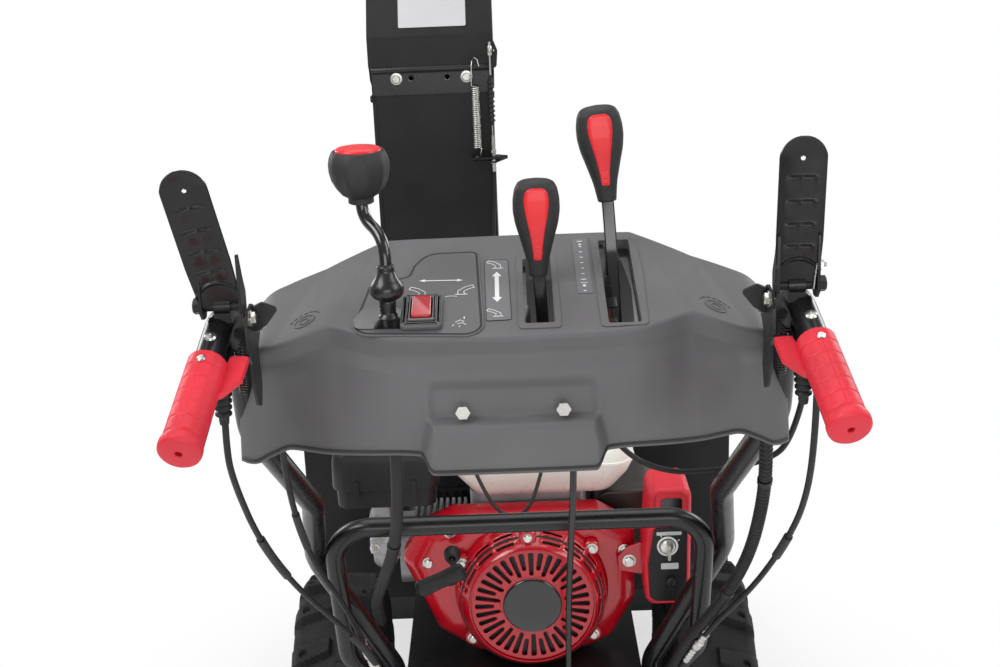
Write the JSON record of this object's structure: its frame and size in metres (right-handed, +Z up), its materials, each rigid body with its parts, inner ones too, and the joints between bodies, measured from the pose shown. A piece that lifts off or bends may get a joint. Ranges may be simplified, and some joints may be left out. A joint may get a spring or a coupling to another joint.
{
  "type": "two stage snowblower",
  "caption": "Self-propelled two stage snowblower with auger housing, impeller, turning chute, petrol engine, lugged wheels and a console of levers between handlebars.",
  "frame": {"origin": "on the ground, at the middle of the length, under the wheel axle", "axes": "+X to the operator's right, +Y forward to the auger housing, +Z up"},
  "size_m": [0.783, 1.5137, 1.306],
  "materials": {
    "black_powder_coat": "satin black powder coat",
    "frame_black": "gloss black paint on tube",
    "red_plastic": "moulded red grip",
    "red_paint": "gloss red engine paint",
    "console_grey": "fine-grained dark grey moulding",
    "black_plastic": "black moulding",
    "tyre_rubber": "tyre rubber",
    "cable_rubber": "black cable sheath",
    "bright_steel": "zinc-plated steel",
    "cast_aluminium": "bare casting",
    "cast_iron_grey": "dark cast iron",
    "cream_plastic": "cream fuel tank"
  },
  "bodies": {
    "frame": {"auger_housing": "black_powder_coat", "impeller_drum": "black_powder_coat", "scraper_bar": "bright_steel", "skid_shoes": "black_powder_coat", "frame_bolts": "bright_steel", "shaft_bearings": "bright_steel", "auger_gearbox": "cast_aluminium", "drive_case": "black_powder_coat", "belt_cover": "black_plastic", "drive_belts": "cable_rubber", "friction_shaft": "bright_steel", "handlebar_left": "frame_black", "handlebar_right": "frame_black", "engine_guard": "frame_black", "console": "console_grey", "grip_left": "red_plastic", "grip_right": "red_plastic", "engine_block": "cast_aluminium", "engine_shroud": "red_paint", "fan_cover": "red_paint", "fuel_tank": "cream_plastic", "air_box": "black_plastic", "carburettor": "cast_aluminium", "muffler": "bright_steel", "control_box": "red_plastic", "control_cables": "cable_rubber"},
    "wheel_left": {"tyre_left": "tyre_rubber", "rim_left": "black_powder_coat", "half_shaft_left": "bright_steel"},
    "wheel_right": {"tyre_right": "tyre_rubber", "rim_right": "black_powder_coat", "half_shaft_right": "bright_steel"},
    "auger": {"auger_shaft": "bright_steel", "auger_flight_left": "red_paint", "auger_flight_right": "red_paint"},
    "impeller_rotor": {"impeller": "red_paint", "impeller_shaft": "bright_steel", "impeller_pulley": "cast_iron_grey"},
    "crank": {"crankshaft": "bright_steel"},
    "drive_disc": {"friction_disc": "cast_aluminium"},
    "drive_wheel": {"friction_wheel": "cable_rubber"},
    "chute_lower": {"chute": "black_powder_coat", "chute_hinge_bolts": "bright_steel", "deflector_spring": "bright_steel", "deflector_cable": "cable_rubber"},
    "chute_deflector": {"deflector": "black_powder_coat"},
    "joystick": {"joystick_rod": "frame_black", "joystick_knob": "black_plastic"},
    "deflector_control": {"deflector_lever": "black_plastic"},
    "speed_control": {"speed_lever": "black_plastic"},
    "paddle_left": {"paddle_left": "black_powder_coat"},
    "paddle_right": {"paddle_right": "black_powder_coat"},
    "trigger_left": {"trigger_left": "black_plastic"},
    "trigger_right": {"trigger_right": "black_plastic"},
    "rocker": {"rocker_switch": "red_plastic"},
    "key": {"ignition_key": "bright_steel"},
    "reset": {"reset_button": "black_plastic"},
    "starter_pull": {"recoil_handle": "black_plastic", "recoil_rope": "cable_rubber"},
    "cap": {"fuel_cap": "black_plastic"}
  },
  "joints": [
    {"name": "wheel_left_spin", "type": "hinge", "parent": "frame", "child": "wheel_left", "pos_m": [-0.272, 0, 0.19], "axis": [1, 0, 0], "continuous": true},
    {"name": "wheel_right_spin", "type": "hinge", "parent": "frame", "child": "wheel_right", "pos_m": [0.272, 0, 0.19], "axis": [1, 0, 0], "continuous": true},
    {"name": "auger_spin", "type": "hinge", "parent": "frame", "child": "auger", "pos_m": [0, 0.603, 0.185], "axis": [1, 0, 0], "continuous": true},
    {"name": "impeller_spin", "type": "hinge", "parent": "frame", "child": "impeller_rotor", "pos_m": [0, 0.603, 0.2205], "axis": [0, 1, 0], "continuous": true},
    {"name": "crank_spin", "type": "hinge", "parent": "frame", "child": "crank", "pos_m": [0.015, 0, 0.425], "axis": [0, 1, 0], "continuous": true},
    {"name": "friction_disc_spin", "type": "hinge", "parent": "frame", "child": "drive_disc", "pos_m": [0, 0.11, 0.235], "axis": [0, 1, 0], "continuous": true},
    {"name": "speed_lever_tilt", "type": "hinge", "parent": "frame", "child": "speed_control", "pos_m": [0.113, -0.49, 0.868], "axis": [1, 0, 0], "range_deg": [0, 64]},
    {"name": "friction_wheel_shift", "type": "slide", "parent": "frame", "child": "drive_wheel", "axis": [-1, 0, 0], "range_m": [0, 0.084]},
    {"name": "chute_turn", "type": "hinge", "parent": "frame", "child": "chute_lower", "pos_m": [-0.108, 0.352, 0.4], "axis": [0, 0, 1], "range_deg": [-95, 95]},
    {"name": "joystick_tilt", "type": "hinge", "parent": "frame", "child": "joystick", "pos_m": [-0.123, -0.53193, 0.95679], "axis": [0, 1, 0], "range_deg": [-19, 19]},
    {"name": "deflector_tilt", "type": "hinge", "parent": "chute_lower", "child": "chute_deflector", "pos_m": [-0.108, 0.2735, 1.106], "axis": [-1, 0, 0], "range_deg": [0, 40], "deforming": ["deflector_spring"]},
    {"name": "deflector_lever_tilt", "type": "hinge", "parent": "frame", "child": "deflector_control", "pos_m": [0.035, -0.49, 0.868], "axis": [1, 0, 0], "range_deg": [0, 32]},
    {"name": "paddle_left_press", "type": "hinge", "parent": "frame", "child": "paddle_left", "pos_m": [-0.27485, -0.60271, 0.99951], "axis": [1, 0, 0], "range_deg": [0, 80], "stiffness_Nm_per_rad": 0.6, "springref_deg": -17.19},
    {"name": "paddle_right_press", "type": "hinge", "parent": "frame", "child": "paddle_right", "pos_m": [0.27485, -0.60271, 0.99951], "axis": [1, 0, 0], "range_deg": [0, 80], "stiffness_Nm_per_rad": 0.6, "springref_deg": -17.19},
    {"name": "trigger_left_squeeze", "type": "hinge", "parent": "frame", "child": "trigger_left", "pos_m": [-0.28235, -0.59634, 0.94838], "axis": [-1, 0, 0], "range_deg": [0, 4], "stiffness_Nm_per_rad": 1, "springref_deg": -11.46},
    {"name": "trigger_right_squeeze", "type": "hinge", "parent": "frame", "child": "trigger_right", "pos_m": [0.28235, -0.59634, 0.94838], "axis": [-1, 0, 0], "range_deg": [0, 4], "stiffness_Nm_per_rad": 1, "springref_deg": -11.46},
    {"name": "rocker_toggle", "type": "hinge", "parent": "frame", "child": "rocker", "pos_m": [-0.089, -0.533, 0.96065], "axis": [1, 0, 0], "range_deg": [-5, 5]},
    {"name": "ignition_key_turn", "type": "hinge", "parent": "frame", "child": "key", "pos_m": [0.202, -0.15, 0.502], "axis": [0, 1, 0], "range_deg": [-30, 60]},
    {"name": "reset_button_press", "type": "slide", "parent": "frame", "child": "reset", "axis": [0, 1, 0], "range_m": [0, 0.003], "stiffness_N_per_m": 600, "springref_m": -0.001},
    {"name": "starter_handle_pull", "type": "slide", "parent": "frame", "child": "starter_pull", "axis": [0, -0.995, 0.0995], "range_m": [0, 0.4]},
    {"name": "fuel_cap_turn", "type": "hinge", "parent": "frame", "child": "cap", "pos_m": [0.076, 0.02, 0.65], "axis": [0, 0, 1], "range_deg": [0, 90]}
  ],
  "couplings": [
    {"joint": "impeller_spin", "follows": "auger_spin", "ratio": 10},
    {"joint": "friction_wheel_shift", "follows": "speed_lever_tilt", "m_per_rad": 0.075},
    {"joint": "joystick_tilt", "follows": "chute_turn", "ratio": -0.2},
    {"joint": "deflector_lever_tilt", "follows": "deflector_tilt", "ratio": 0.8}
  ]
}
